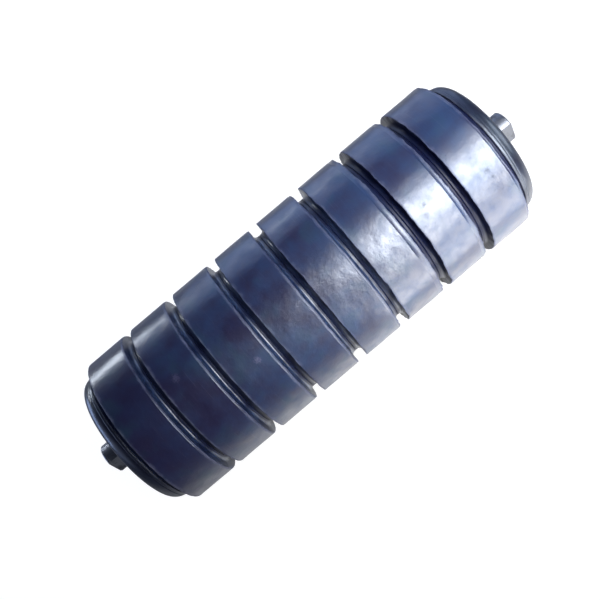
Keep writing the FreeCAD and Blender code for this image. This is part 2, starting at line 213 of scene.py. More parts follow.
matt = add_node(tree, "ShaderNodeBsdfDiffuse", {"Color": linear(PAPER_GREY)})
both = add_node(tree, "ShaderNodeAddShader", {0: matt, 1: glow})
add_node(tree, "ShaderNodeOutputMaterial", {"Surface": both})
floor_mesh.materials.append(floor_paper)
print("made", floor_paper.name, "with", len(tree.nodes), "nodes")

# %% [markdown]
# ## Room light
# A weak bluish light comes from all sides and fills the shadows, and the camera sees the room white.
# A picture of a real room could be wrapped round, but shiny rubber would show all that is in it. So glossy
# rays get a smooth sweep instead: dark at the left, pale at the right, and bright far past the left end.

# %% Light the room
ROOM_LIGHT = 0.22
ROOM_TINT = "#ccd8fa"
GLOSS_LEFT = 0.03
GLOSS_RIGHT = 0.15
LEFT_AND_RIGHT = (-0.3, 0.5)
GLOSS_PAST_LEFT = 0.7
PAST_LEFT = (-0.6, -0.95)

world = bpy.data.worlds.new("studio")
scene.world = world
world.use_nodes = True
tree = world.node_tree
tree.nodes.clear()
rays = add_node(tree, "ShaderNodeLightPath")
direction = add_node(tree, "ShaderNodeTexCoord").outputs["Generated"]
to_the_right = add_node(tree, "ShaderNodeSeparateXYZ", {"Vector": direction}).outputs["Y"]
sweep = add_node(tree, "ShaderNodeMapRange", {
    "Value": to_the_right, "From Min": LEFT_AND_RIGHT[0], "From Max": LEFT_AND_RIGHT[1],
    "To Min": GLOSS_LEFT, "To Max": GLOSS_RIGHT})
past_left = add_node(tree, "ShaderNodeMapRange", {
    "Value": to_the_right, "From Min": PAST_LEFT[0], "From Max": PAST_LEFT[1], "To Max": GLOSS_PAST_LEFT})
sweep = add_node(tree, "ShaderNodeMath", {0: sweep, 1: past_left})
soft = add_node(tree, "ShaderNodeMix", {"Factor": rays.outputs["Is Glossy Ray"], "A": ROOM_LIGHT, "B": sweep})
seen = add_node(tree, "ShaderNodeMath", {
    0: rays.outputs["Is Camera Ray"], 1: rays.outputs["Is Transmission Ray"]}, operation="MAXIMUM")
level = add_node(tree, "ShaderNodeMix", {"Factor": seen, "A": soft, "B": 1.0})
tint = add_node(tree, "ShaderNodeMix", {
    "Factor": seen, "A": linear(ROOM_TINT), "B": linear("#ffffff")}, data_type="RGBA")
background = add_node(tree, "ShaderNodeBackground", {"Color": tint, "Strength": level})
add_node(tree, "ShaderNodeOutputWorld", {"Surface": background})
print("room light", ROOM_LIGHT)

# %% [markdown]
# ## Lamps
# Black rubber shows little more than what it mirrors, so each lamp is placed by the part of the tread that
# sees it. Point lamps would leave small hard dots on the rounds, and flat area lamps give broad soft bands.
# A softbox and a white card stand at the right front, two cards lie on the floor there, and a weaker panel
# above the softbox softens the upper edge of its highlight. A window lights the right end and a panel the
# left end. Blue sky comes from above and behind, and two narrow strips at the back draw the thin bright
# lines at the top.

# %% Define a lamp
COOL_DAYLIGHT = "#ecf4fe"


def hang_lamp(name, place, size, radiance, target=(0, 0, 0), grid=math.pi, colour=COOL_DAYLIGHT):
    """A flat soft lamp that faces the target; a grid under half a turn keeps its light from the sides."""
    width, height = size
    lamp = bpy.data.lights.new(name, "AREA")
    lamp.shape = "RECTANGLE"
    lamp.size = width
    lamp.size_y = height
    lamp.color = linear(colour)[:3]
    lamp.spread = grid
    lamp.energy = radiance * math.pi * width * height
    stand = bpy.data.objects.new(name, lamp)
    stand.location = place
    stand.rotation_euler = (Vector(place) - Vector(target)).to_track_quat("Z", "Y").to_euler()
    stand.visible_camera = False
    scene.collection.objects.link(stand)


print("usual lamp colour:", COOL_DAYLIGHT)

# %% Hang the lamps
CLEAR_SKY = "#b6cdfd"
SOFTBOX_WHITE = "#f5f9ff"
WHITE_CARD = "#ffffff"
WIDE_GRID = math.radians(90)
NARROW_GRID = math.radians(70)

hang_lamp("right_front_softbox", place=(0.60, 0.32, 0.43), size=(0.40, 0.82), radiance=3.0,
          target=(0, 0.25, 0), grid=NARROW_GRID, colour=SOFTBOX_WHITE)
hang_lamp("right_top_panel", place=(0.22, 0.35, 0.69), size=(0.45, 0.20), radiance=1.6, target=(0, 0.28, 0))
hang_lamp("right_front_card", place=(0.80, 0.25, 0.03), size=(0.26, 0.20), radiance=2.8,
          target=(0, 0.20, 0.03), grid=WIDE_GRID, colour=WHITE_CARD)
hang_lamp("near_floor_card", place=(0.235, 0.14, -0.06), size=(0.25, 0.205), radiance=4.2,
          target=(0.235, 0.14, 1.0), colour=WHITE_CARD)
hang_lamp("far_floor_card", place=(0.57, 0.20, -0.06), size=(0.36, 0.26), radiance=4.8,
          target=(0.57, 0.20, 1.0), colour=WHITE_CARD)
hang_lamp("right_window", place=(0.27, 1.00, 0.22), size=(0.55, 0.50), radiance=4.5, target=(0, 0.17, 0))
hang_lamp("left_end_panel", place=(-0.45, -1.00, 0.14), size=(0.90, 0.36), radiance=3.3,
          target=(0, -0.17, 0), colour=CLEAR_SKY)
hang_lamp("top_sky_panel", place=(-0.08, 0.22, 0.80), size=(0.62, 0.55), radiance=0.4,
          target=(0, 0.15, 0), colour=CLEAR_SKY)
hang_lamp("back_sky_panel", place=(-0.95, 0.38, 0.48), size=(1.30, 1.10), radiance=1.05,
          target=(0, 0.1, 0), colour=CLEAR_SKY)
hang_lamp("low_back_strip", place=(-0.82, -0.44, 0.33), size=(0.40, 0.08), radiance=15.5,
          target=(0, -0.15, 0))
hang_lamp("thin_back_strip", place=(-0.80, 0.09, 0.35), size=(0.20, 0.02), radiance=9.0)

# %% [markdown]
# ## Moulded rubber
# The rings are black natural rubber, moulded hot in a steel tool. The skin is smooth and a little waxy:
# wax blooms to the surface in soft blue patches, and the tool leaves a fine grain.
# A photo of rubber could be wrapped round, but noise in the object's own coordinates has no seam.
# The mesh brings one attribute for it: "edge" is 1 at a trimmed edge and fades over a few millimetres.

# %% Colour the rubber's skin
BLOOM_PATCH = 34 * MM
BLOOM_CLOUD = 9 * MM
# Where the painted shade at the left end is darkest, and where it ends.
PAINTED_SHADE_DARKEST = -170 * MM
PAINTED_SHADE_ENDS = -60 * MM
AGED_PATCH = 17 * MM


def bloomed_skin(tree, place, bare, waxed, aged):
    """Bare rubber, wax patches thinned at the left end as painted shade, and aged spots; gives colour, wax
    share, clouds.
    """
    patches = add_node(tree, "ShaderNodeTexNoise", {"Vector": place, "Scale": 1 / BLOOM_PATCH})
    clouds = add_node(tree, "ShaderNodeTexNoise", {
        "Vector": place, "Scale": 1 / BLOOM_CLOUD, "Detail": 5.0, "Roughness": 0.6})
    mixed = add_node(tree, "ShaderNodeMix", {"Factor": 0.35, "A": patches, "B": clouds})
    mixed = add_node(tree, "ShaderNodeMapRange", {"Value": mixed, "From Min": 0.38, "From Max": 0.64})
    # The wax patches are cut down to a third towards the left end, so the left rings come out darker: painted
    # shade.
    along = add_node(tree, "ShaderNodeSeparateXYZ", {"Vector": place}).outputs["Y"]
    painted_shade_left = add_node(tree, "ShaderNodeMapRange", {
        "Value": along, "From Min": PAINTED_SHADE_DARKEST, "From Max": PAINTED_SHADE_ENDS, "To Min": 0.3})
    bloom_and_painted_shade = add_node(tree, "ShaderNodeMath", {0: mixed, 1: painted_shade_left}, operation="MULTIPLY")
    skin = add_node(tree, "ShaderNodeMix", {
        "Factor": bloom_and_painted_shade, "A": linear(bare), "B": linear(waxed)}, data_type="RGBA")
    spots = add_node(tree, "ShaderNodeTexNoise", {"Vector": place, "Scale": 1 / AGED_PATCH, "Detail": 4.0})
    spots = add_node(tree, "ShaderNodeMapRange", {
        "Value": spots, "From Min": 0.52, "From Max": 0.74, "To Max": 0.5})
    skin = add_node(tree, "ShaderNodeMix", {"Factor": spots, "A": skin, "B": linear(aged)}, data_type="RGBA")
    return skin, bloom_and_painted_shade, clouds


print("wax patches", BLOOM_PATCH / MM, "mm wide, aged spots", AGED_PATCH / MM, "mm")

# %% [markdown]
# ## Wear on the rubber
# A roller that has run has fine rub marks round its treads, frayed pale edges and a few scuffs.
# They could be painted on by hand. Here the rub marks are a noise that is drawn out along the way the roller
# turns, and the attribute "edge" brings the frayed edges to their place, so both follow the shape.

# %% Wear the rubber's skin
RUB_LENGTH = 28 * MM
RUB_WIDTH = 0.7 * MM


def worn_skin(tree, place, skin, clouds, worn):
    """Rub marks round the tread and frayed edges; gives the colour and what is dull."""
    round_way = add_node(tree, "ShaderNodeMapping", {
        "Vector": place, "Scale": (1 / RUB_LENGTH, 1 / RUB_WIDTH, 1 / RUB_LENGTH)})
    rubs = add_node(tree, "ShaderNodeTexNoise", {"Vector": round_way, "Scale": 1.0, "Detail": 3.0})
    rubs = add_node(tree, "ShaderNodeMapRange", {
        "Value": rubs, "From Min": 0.62, "From Max": 0.80, "To Max": 0.16})
    skin = add_node(tree, "ShaderNodeMix", {"Factor": rubs, "A": skin, "B": linear(worn)}, data_type="RGBA")

    edge = add_node(tree, "ShaderNodeAttribute", attribute_name="edge").outputs["Fac"]
    ragged = add_node(tree, "ShaderNodeMath", {0: edge, 1: clouds}, operation="MULTIPLY")
    ragged = add_node(tree, "ShaderNodeMapRange", {
        "Value": ragged, "From Min": 0.32, "From Max": 0.58, "To Max": 0.45})
    skin = add_node(tree, "ShaderNodeMix", {"Factor": ragged, "A": skin, "B": linear(worn)}, data_type="RGBA")
    dull = add_node(tree, "ShaderNodeMapRange", {
        "Value": edge, "From Min": 0.72, "From Max": 0.95, "To Max": 0.8})
    return skin, dull


print("rub marks", RUB_LENGTH / MM, "mm long")

# %% Scuff the treads
SPECKLE = 1.1 * MM
# Each scuff: its place and its reach in millimetres, and its colour.
SCUFFS = (
    ((52, -57, 41), 6, "#6f6c86"),
    ((31, -109, 59), 7, "#4a4460"),
    ((54, 150, 39), 5, "#10101c"),
    ((57, 151, 34), 4, "#10101c"),
    ((47, 101, 47), 4, "#10101c"),
    ((52, 98, 42), 5, "#10101c"),
)


def scuffed_skin(tree, place, skin, dull):
    """A few speckled scuffs on the treads; gives the colour and what is dull."""
    specks = add_node(tree, "ShaderNodeTexNoise", {"Vector": place, "Scale": 1 / SPECKLE, "Detail": 3.0})
    for spot, reach, colour in SCUFFS:
        far = add_node(tree, "ShaderNodeVectorMath", {0: place, 1: Vector(spot) * MM}, operation="DISTANCE")
        near = add_node(tree, "ShaderNodeMapRange", {"Value": far, "From Min": reach * MM, "From Max": 0.0})
        mark = add_node(tree, "ShaderNodeMath", {0: near, 1: specks}, operation="MULTIPLY")
        mark = add_node(tree, "ShaderNodeMapRange", {
            "Value": mark, "From Min": 0.22, "From Max": 0.46, "To Max": 0.45})
        skin = add_node(tree, "ShaderNodeMix", {
            "Factor": mark, "A": skin, "B": linear(colour)}, data_type="RGBA")
        dull = add_node(tree, "ShaderNodeMath", {0: dull, 1: mark}, operation="MAXIMUM")
    return skin, dull


print("scuffs on the treads:", len(SCUFFS))

# %% [markdown]
# ## The two rubbers
# Rubber shrinks in soft waves as it cools, and it copies the grain of the tool. Both are so shallow that they
# only bend the light, so they are bump in the shader and not points of the mesh. The wax is a thin clear coat
# that lies unevenly. The collars get the same mix with less polish, because no belt runs on them.

# %% Shape the skin and mix the two rubbers
SKIN_WAVE = 26 * MM
SKIN_WAVE_DEPTH = 0.85 * MM
# The real grain is about 0.2 mm, and is drawn coarser, so that it shows.
MOULD_GRAIN = 1.3 * MM
MOULD_GRAIN_DEPTH = 0.05 * MM


def mix_rubber(name, polish, bare, waxed, aged, worn):
    """Moulded natural rubber: blue-black, satin where the wax has bloomed and shinier where it is bare."""
    material, tree, place = new_material(name)
    skin, bloom_and_painted_shade, clouds = bloomed_skin(tree, place, bare, waxed, aged)
    skin, dull = worn_skin(tree, place, skin, clouds, worn)
    skin, dull = scuffed_skin(tree, place, skin, dull)
    satin = add_node(tree, "ShaderNodeMapRange", {"Value": bloom_and_painted_shade, "To Min": 0.30, "To Max": 0.44})
    gloss = add_node(tree, "ShaderNodeMix", {"Factor": dull, "A": satin, "B": 0.65})
    glaze = add_node(tree, "ShaderNodeMapRange", {"Value": dull, "To Min": polish, "To Max": 0.0})
    film = add_node(tree, "ShaderNodeMapRange", {
        "Value": clouds, "From Min": 0.36, "From Max": 0.66, "To Min": 1.0, "To Max": 0.45})
    glaze = add_node(tree, "ShaderNodeMath", {0: glaze, 1: film}, operation="MULTIPLY")

    waves = add_node(tree, "ShaderNodeTexNoise", {
        "Vector": place, "Scale": 1 / SKIN_WAVE, "Detail": 5.0, "Roughness": 0.54})
    grain = add_node(tree, "ShaderNodeTexNoise", {"Vector": place, "Scale": 1 / MOULD_GRAIN, "Detail": 3.0})
    wavy = add_node(tree, "ShaderNodeBump", {"Height": waves, "Strength": 0.8, "Distance": SKIN_WAVE_DEPTH})
    grainy = add_node(tree, "ShaderNodeBump", {
        "Height": grain, "Strength": 0.5, "Distance": MOULD_GRAIN_DEPTH, "Normal": wavy})
    shader = add_node(tree, "ShaderNodeBsdfPrincipled", {
        "Base Color": skin, "Roughness": gloss, "Normal": grainy, "IOR": 1.52, "Specular IOR Level": 0.7,
        "Specular Tint": linear("#dfecfd"), "Coat Weight": glaze, "Coat Roughness": 0.25, "Coat IOR": 1.65,
        "Coat Normal": grainy})
    add_node(tree, "ShaderNodeOutputMaterial", {"Surface": shader})
    return material


ring_rubber = mix_rubber(
    "moulded_natural_rubber", polish=1.0, bare="#1b1636", waxed="#1b3054", aged="#16343f", worn="#6a6a7c")
collar_rubber = mix_rubber(
    "moulded_collar_rubber", polish=0.5, bare="#0f0f1f", waxed="#171e34", aged="#13242c", worn="#5c5c68")
print("made", ring_rubber.name, "and", collar_rubber.name)

# %% [markdown]
# ## Rubber down in the grooves
# No belt polishes the grooves, so the rubber there stays as it came from the tool, dull, and dust settles in
# it.
# Its colour is darker than the tread's as well: painted shade in the recess. Only the round at the foot of a
# tread is smooth; its coat shines, and a paler colour painted along it draws a thin bright line, a painted
# highlight. Both fade out towards the right end. One rubber with a changing gloss could serve tread and
# groove alike, but a second, darker material paints the crisp dark line of shade between the rings. It reads
# the attribute "groove": 0 on the tread, 1 on the groove's floor.

# %% Mix the groove rubber
GROOVE_DUST = 22 * MM
GROOVE_GLINT = 16 * MM
GLINTS_FADE_FROM = 45 * MM
GLINTS_GONE = 90 * MM


def mix_groove_rubber(name, bare, dust, foot_painted_glint):
    """Unpolished rubber, dark as painted shade, with settled dust and a painted glint in the round at its
    foot.
    """
    material, tree, place = new_material(name)
    settled = add_node(tree, "ShaderNodeTexNoise", {
        "Vector": place, "Scale": 1 / GROOVE_DUST, "Detail": 5.0, "Roughness": 0.6})
    settled = add_node(tree, "ShaderNodeMapRange", {
        "Value": settled, "From Min": 0.54, "From Max": 0.74, "To Max": 0.5})
    colour = add_node(tree, "ShaderNodeMix", {
        "Factor": settled, "A": linear(bare), "B": linear(dust)}, data_type="RGBA")

    depth = add_node(tree, "ShaderNodeAttribute", attribute_name="groove").outputs["Fac"]
    foot = add_node(tree, "ShaderNodeMapRange", {
        "Value": depth, "From Min": 1.0, "From Max": 0.985, "To Min": 0.25})
    glints = add_node(tree, "ShaderNodeTexNoise", {"Vector": place, "Scale": 1 / GROOVE_GLINT, "Detail": 3.0})
    glints = add_node(tree, "ShaderNodeMapRange", {
        "Value": glints, "From Min": 0.36, "From Max": 0.56, "To Min": 0.25})
    glints = add_node(tree, "ShaderNodeMath", {0: foot, 1: glints}, operation="MULTIPLY")
    # The coat and the painted highlight fade out towards the right end.
    along = add_node(tree, "ShaderNodeSeparateXYZ", {"Vector": place}).outputs["Y"]
    glint_fade_to_right = add_node(tree, "ShaderNodeMapRange", {
        "Value": along, "From Min": GLINTS_FADE_FROM, "From Max": GLINTS_GONE, "To Min": 1.0, "To Max": 0.1})
    glints = add_node(tree, "ShaderNodeMath", {0: glints, 1: glint_fade_to_right}, operation="MULTIPLY")
    # A paler colour along the round at the foot, where the coat shines: a painted highlight.
    colour = add_node(tree, "ShaderNodeMix", {
        "Factor": glints, "A": colour, "B": linear(foot_painted_glint)}, data_type="RGBA")

    grain = add_node(tree, "ShaderNodeTexNoise", {"Vector": place, "Scale": 1 / MOULD_GRAIN, "Detail": 3.0})
    relief = add_node(tree, "ShaderNodeBump", {
        "Height": grain, "Strength": 0.6, "Distance": MOULD_GRAIN_DEPTH})
    shader = add_node(tree, "ShaderNodeBsdfPrincipled", {
        "Base Color": colour, "Roughness": 0.3, "Normal": relief, "IOR": 1.52, "Specular IOR Level": 0.15,
        "Coat Weight": glints, "Coat Roughness": 0.22, "Coat IOR": 1.8})
    add_node(tree, "ShaderNodeOutputMaterial", {"Surface": shader})
    return material


# Its bare colour is darker than the tread's rubber: painted shade in the grooves.
groove_rubber = mix_groove_rubber(
    "unpolished_rubber_painted_shade_and_glint", bare="#0f1430", dust="#2a212c", foot_painted_glint="#2c3a58")
print("made", groove_rubber.name)

# %% [markdown]
# ## One lathe for all turned pieces
# A ring and a collar are both a flat outline spun round the shaft, so one tree of Geometry Nodes makes both.
# The outline is a small mesh of edges. Mesh to Curve makes it a profile, and Curve to Mesh carries it round
# a circle, together with its attributes. The Screw modifier could spin it too, but in a tree the next nodes
# can then push the points. Each size is a named input, so one tree serves ten pieces.

# %% Spin an outline round the shaft


def add_inputs(tree, names):
    """Give a tree its geometry in and out, and one named input for each size."""
    tree.interface.new_socket("Geometry", in_out="INPUT", socket_type="NodeSocketGeometry")
    tree.interface.new_socket("Geometry", in_out="OUTPUT", socket_type="NodeSocketGeometry")
    for name, kind in names.items():
        tree.interface.new_socket(name, in_out="INPUT", socket_type=f"NodeSocket{kind}")
    return tree.nodes.new("NodeGroupInput").outputs


lathe = bpy.data.node_groups.new("lathe", "GeometryNodeTree")
given = add_inputs(lathe, {
    "Path Radius": "Float", "Steps Round": "Int", "Place Along": "Float", "Edge Wander": "Float",
    "Wander Size": "Float", "Press Depth": "Float", "Press Size": "Float", "Seed": "Float",
    "Material": "Material", "Groove Material": "Material"})
profile = add_node(lathe, "GeometryNodeMeshToCurve", {"Mesh": given["Geometry"]})
path = add_node(lathe, "GeometryNodeCurvePrimitiveCircle", {
    "Radius": given["Path Radius"], "Resolution": given["Steps Round"]})
spun = add_node(lathe, "GeometryNodeCurveToMesh", {"Curve": path, "Profile Curve": profile})
along = add_node(lathe, "ShaderNodeCombineXYZ", {"Y": given["Place Along"]})
turned = add_node(lathe, "GeometryNodeTransform", {
    "Geometry": spun, "Translation": along, "Rotation": (math.pi / 2, 0, 0)})
print("lathe inputs:", len(given) - 1)

# %% [markdown]
# ## Rubber that isn't quite true
# A trimmed rubber edge wanders a little to both sides, and a tread is pressed in slightly here and there.
# A sculptor's brush could do that, but noise with a fixed seed gives the same result on every run.
# The attribute "edge" says how much a point may wander, and "free" how much it may be pressed in.

# %% Let the edges wander
where = add_node(lathe, "GeometryNodeInputPosition")
wander_scale = add_node(lathe, "ShaderNodeMath", {0: 1.0, 1: given["Wander Size"]}, operation="DIVIDE")
wander = add_node(lathe, "ShaderNodeTexNoise", {
    "Vector": where, "W": given["Seed"], "Scale": wander_scale, "Detail": 3.0, "Roughness": 0.65},
    noise_dimensions="4D")
edge = add_node(lathe, "GeometryNodeInputNamedAttribute", {"Name": "edge"}, data_type="FLOAT")
swing = add_node(lathe, "ShaderNodeMapRange", {"Value": wander, "To Min": -1.0, "To Max": 1.0})
swing = add_node(lathe, "ShaderNodeMath", {0: swing, 1: given["Edge Wander"]}, operation="MULTIPLY")
swing = add_node(lathe, "ShaderNodeMath", {0: swing, 1: edge}, operation="MULTIPLY")
sideways = add_node(lathe, "ShaderNodeCombineXYZ", {"Y": swing})
print("lathe tree:", len(lathe.nodes), "nodes with the wander")

# %% Press the tread in
press_scale = add_node(lathe, "ShaderNodeMath", {0: 1.0, 1: given["Press Size"]}, operation="DIVIDE")
press = add_node(lathe, "ShaderNodeTexNoise", {
    "Vector": where, "W": given["Seed"], "Scale": press_scale, "Detail": 1.0}, noise_dimensions="4D")
free = add_node(lathe, "GeometryNodeInputNamedAttribute", {"Name": "free"}, data_type="FLOAT")
sink = add_node(lathe, "ShaderNodeMath", {0: press, 1: given["Press Depth"]}, operation="MULTIPLY")
sink = add_node(lathe, "ShaderNodeMath", {0: sink, 1: free}, operation="MULTIPLY")
outward = add_node(lathe, "ShaderNodeVectorMath", {0: where, 1: (1, 0, 1)}, operation="MULTIPLY")
outward = add_node(lathe, "ShaderNodeVectorMath", {0: outward}, operation="NORMALIZE")
inward = add_node(lathe, "ShaderNodeVectorMath", {0: outward, "Scale": sink}, operation="SCALE")
push = add_node(lathe, "ShaderNodeVectorMath", {0: sideways, 1: inward}, operation="SUBTRACT")
pushed = add_node(lathe, "GeometryNodeSetPosition", {"Geometry": turned, "Offset": push})
print("lathe tree:", len(lathe.nodes), "nodes with the press")

# %% Give the turned piece its two rubbers
GROOVE_FROM = 0.12

smooth = add_node(lathe, "GeometryNodeSetShadeSmooth", {"Geometry": pushed})
real = add_node(lathe, "GeometryNodeRealizeInstances", {"Geometry": smooth})
coated = add_node(lathe, "GeometryNodeSetMaterial", {"Geometry": real, "Material": given["Material"]})
groove = add_node(lathe, "GeometryNodeInputNamedAttribute", {"Name": "groove"}, data_type="FLOAT")
below = add_node(lathe, "FunctionNodeCompare", {"A": groove, "B": GROOVE_FROM},
                 data_type="FLOAT", operation="GREATER_THAN")
coated = add_node(lathe, "GeometryNodeSetMaterial", {
    "Geometry": coated, "Selection": below, "Material": given["Groove Material"]})
add_node(lathe, "NodeGroupOutput", {"Geometry": coated})
print("lathe tree:", len(lathe.nodes), "nodes in all")

# %% [markdown]
# ## From a tree to a plain mesh
# A tree is a modifier, and its result is only seen on the evaluated object. The modifier could be applied
# with an operator, but that needs the object to be selected. new_from_object makes a plain mesh without that.

# %% Run a tree and keep its mesh


def run_tree(name, mesh, tree, values):
    """Run a tree on a mesh and keep the result as a plain mesh object at the origin."""
    piece = bpy.data.objects.new(name, mesh)
    scene.collection.objects.link(piece)
    modifier = piece.modifiers.new(tree.name, "NODES")
    modifier.node_group = tree
    for item in tree.interface.items_tree:
        if item.in_out == "INPUT" and item.name in values:
            modifier[item.identifier] = values[item.name]
    made = bpy.data.meshes.new_from_object(piece.evaluated_get(bpy.context.evaluated_depsgraph_get()))
    piece.modifiers.clear()
    piece.data = made
    made.name = name
    return piece


def outline_mesh(name, points):
    """A closed outline of points (outward, along, edge, groove, free), with the last three as attributes."""
    mesh = bpy.data.meshes.new(name + "_outline")
    count = len(points)
    mesh.from_pydata([(p[0], p[1], 0) for p in points], [(i, (i + 1) % count) for i in range(count)], [])
    for number, attribute in enumerate(("edge", "groove", "free"), start=2):
        values = mesh.attributes.new(attribute, "FLOAT", "POINT").data
        for point, value in zip(points, values):
            value.value = point[number]
    return mesh


print("trees to run:", [tree.name for tree in bpy.data.node_groups])

# %% [markdown]
# ## The rubber rings
# Each ring has a wide hub that touches its neighbours and a narrower tread on it, so that seven grooves
# stay open between the treads. The corners at the foot of a groove are filleted, so the rubber doesn't tear.
# The outline is written as straight runs and quarter rounds. The tread gets extra points across,
# because Geometry Nodes can only press in what has points.

# %% Draw half of a ring's outline
TREAD_WIDTH = 33.5 * MM
HUB_RADIUS = 58 * MM
TREAD_EDGE_ROUND = 0.45 * MM
GROOVE_ROOT_ROUND = 2.8 * MM
HUB_EDGE_ROUND = 0.6 * MM
CREASE_WIDTH = 0.25 * MM
CRISP = 0.15 * MM
TREAD_POINTS = 11
ROUND_POINTS = 5


def quarter(centre_out, centre_along, radius, start, sweep=90):
    """Points of a quarter round, in degrees from the outward direction."""
    angles = [math.radians(start + sweep * step / ROUND_POINTS) for step in range(ROUND_POINTS + 1)]
    return [(centre_out + radius * math.cos(a), centre_along + radius * math.sin(a)) for a in angles]


def half_ring(trim_width, trim_depth):
    """Outline from the groove's middle to the tread's middle: radius, and distance from the ring's middle."""
    half_pitch = RING_PITCH / 2
    half_tread = TREAD_WIDTH / 2
    hub_edge = quarter(HUB_RADIUS - HUB_EDGE_ROUND, half_pitch - HUB_EDGE_ROUND, HUB_EDGE_ROUND, 90, -90)
    root = quarter(HUB_RADIUS + GROOVE_ROOT_ROUND, half_tread + GROOVE_ROOT_ROUND, GROOVE_ROOT_ROUND, 180, 90)
    crown_top = TREAD_RADIUS - trim_depth
    crown_out = crown_top - TREAD_EDGE_ROUND
    crown = [(crown_out - CRISP, half_tread)]
    crown += quarter(crown_out, half_tread - TREAD_EDGE_ROUND, TREAD_EDGE_ROUND, 90, -90)
    crown.append((crown_top, half_tread - TREAD_EDGE_ROUND - CRISP))
    trim_start = half_tread - trim_width
    crease = [(crown_top, trim_start + CREASE_WIDTH)]
    crease += [(TREAD_RADIUS, trim_start), (TREAD_RADIUS, trim_start - CRISP)]
    tread = [(TREAD_RADIUS, trim_start * (1 - step / TREAD_POINTS)) for step in range(1, TREAD_POINTS)]
    return [(TUBE_RADIUS, half_pitch)] + hub_edge + root + crown + crease + tread


PLAIN_TRIM = 1.4 * MM
print("half a ring's outline has", len(half_ring(PLAIN_TRIM, 0.0)), "points")

# %% [markdown]
# ## Eight rings from one outline
# All rings come out of one mould, so they share an outline. Eight plain copies could stand in a row, but they
# would look too alike. So each ring gets its own seed, and its own trimmed strip at the right edge, where
# the flash was cut off after moulding.

# %% Draw a whole ring's outline
TRIM_DEPTH = 0.25 * MM
EDGE_REACH = 6 * MM
# A point may be pressed in less and less, down to this share of the groove's depth.
FREE_TO = 0.25


def ring_outline(trim_width):
    """The whole ring's outline, with how much each point is edge, groove or free tread."""
    left = [(radius, -along) for radius, along in half_ring(PLAIN_TRIM, 0.0)]
    outline = left + [(TREAD_RADIUS, 0.0)] + half_ring(trim_width, TRIM_DEPTH)[::-1]
    points = []
    for radius, along in outline:
        from_corner = math.hypot(radius - TREAD_RADIUS, abs(along) - TREAD_WIDTH / 2)
        edge = max(0.0, 1 - from_corner / EDGE_REACH)
        groove = min(1.0, max(0.0, (TREAD_RADIUS - radius) / (TREAD_RADIUS - HUB_RADIUS)))
        free = max(0.0, 1 - groove / FREE_TO)
        points.append((radius - TUBE_RADIUS, along, edge, groove, free))
    return points


print("a ring's outline has", len(ring_outline(PLAIN_TRIM)), "points")

# %% Spin the rings
STEPS_ROUND = 448
# In millimetres, from the left ring to the right one.
TRIM_WIDTHS = (1.4, 1.4, 1.6, 1.6, 2.0, 4.6, 3.6, 2.0)
EDGE_WANDERS = (0.7, 0.7, 1.0, 1.2, 1.7, 2.2, 2.2, 1.6)
TREAD_WANDER_SIZE = 15 * MM
TREAD_PRESS_DEPTH = 0.5 * MM
TREAD_PRESS_SIZE = 22 * MM
RING_SEED_STEP = 3.7


def middle_along(node):
    """How far along the shaft the middle of a node is."""
    low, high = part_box(node)
    return (low.y + high.y) / 2


for number, node in enumerate(RINGS, start=1):
    outline = outline_mesh(node, ring_outline(TRIM_WIDTHS[number - 1] * MM))
    ring = run_tree(f"ring_{number}", outline, lathe, {
        "Path Radius": TUBE_RADIUS, "Steps Round": STEPS_ROUND, "Place Along": middle_along(node),
        "Edge Wander": EDGE_WANDERS[number - 1] * MM, "Wander Size": TREAD_WANDER_SIZE,
        "Press Depth": TREAD_PRESS_DEPTH, "Press Size": TREAD_PRESS_SIZE, "Seed": RING_SEED_STEP * number,
        "Material": ring_rubber, "Groove Material": groove_rubber})
    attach(ring, "roller")
    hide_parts(node)
print("rings:", RING_COUNT, "with", len(ring.data.polygons), "faces each")

# %% [markdown]
# ## The end collars
# A rounded rubber collar closes each end and keeps the rings together. It could be a bevelled cylinder, but
# its two edges differ, so the same lathe gets another outline: a small round at the inner face, a short
# lip, and a large shoulder round down to the tube.

# %% Draw a collar's outline
collar_low, collar_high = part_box("end_collar_right")
COLLAR_RADIUS = round(collar_high.x, 4)
COLLAR_WIDTH = collar_high.y - collar_low.y
COLLAR_LIP = 2.2 * MM
LIP_STEP = 0.6 * MM
COLLAR_INNER_ROUND = 0.8 * MM
SHOULDER_ROUND = COLLAR_WIDTH - COLLAR_LIP - LIP_STEP
SHOULDER_POINTS = 16
COLLAR_EDGE_REACH = 4 * MM


def collar_outline(outer_way):
    """A collar's outline; outer_way is 1 for the right end and -1 for the left end."""
    inner = -COLLAR_WIDTH / 2
    outline = [(TUBE_RADIUS, inner)]
    outline += quarter(
        COLLAR_RADIUS - COLLAR_INNER_ROUND, inner + COLLAR_INNER_ROUND, COLLAR_INNER_ROUND, 270)
    outline += quarter(COLLAR_RADIUS - LIP_STEP, inner + COLLAR_LIP, LIP_STEP, 0)
    for step in range(SHOULDER_POINTS + 1):
        angle = math.pi / 2 * step / SHOULDER_POINTS
        outline.append((COLLAR_RADIUS - LIP_STEP - SHOULDER_ROUND * (1 - math.cos(angle)),
                        inner + COLLAR_LIP + LIP_STEP + SHOULDER_ROUND * math.sin(angle)))
    outline.append((TUBE_RADIUS, inner + COLLAR_WIDTH))
    points = []
    for radius, along in outline:
        edge = max(0.0, 1 - math.hypot(radius - COLLAR_RADIUS, along - inner) / COLLAR_EDGE_REACH)
        groove = 1.0 if along == inner else 0.0
        points.append((radius - TUBE_RADIUS, outer_way * along, edge, groove, 1 - groove))
    return points if outer_way > 0 else points[::-1]


print("a collar's outline has", len(collar_outline(1)), "points")

# %% Spin the collars
SIDES = ("left", "right")
OUTER_WAYS = (-1, 1)
COLLAR_WANDER = 0.15 * MM
COLLAR_WANDER_SIZE = 18 * MM
COLLAR_PRESS_DEPTH = 0.4 * MM
COLLAR_PRESS_SIZE = 20 * MM
COLLAR_SEED = 50.0

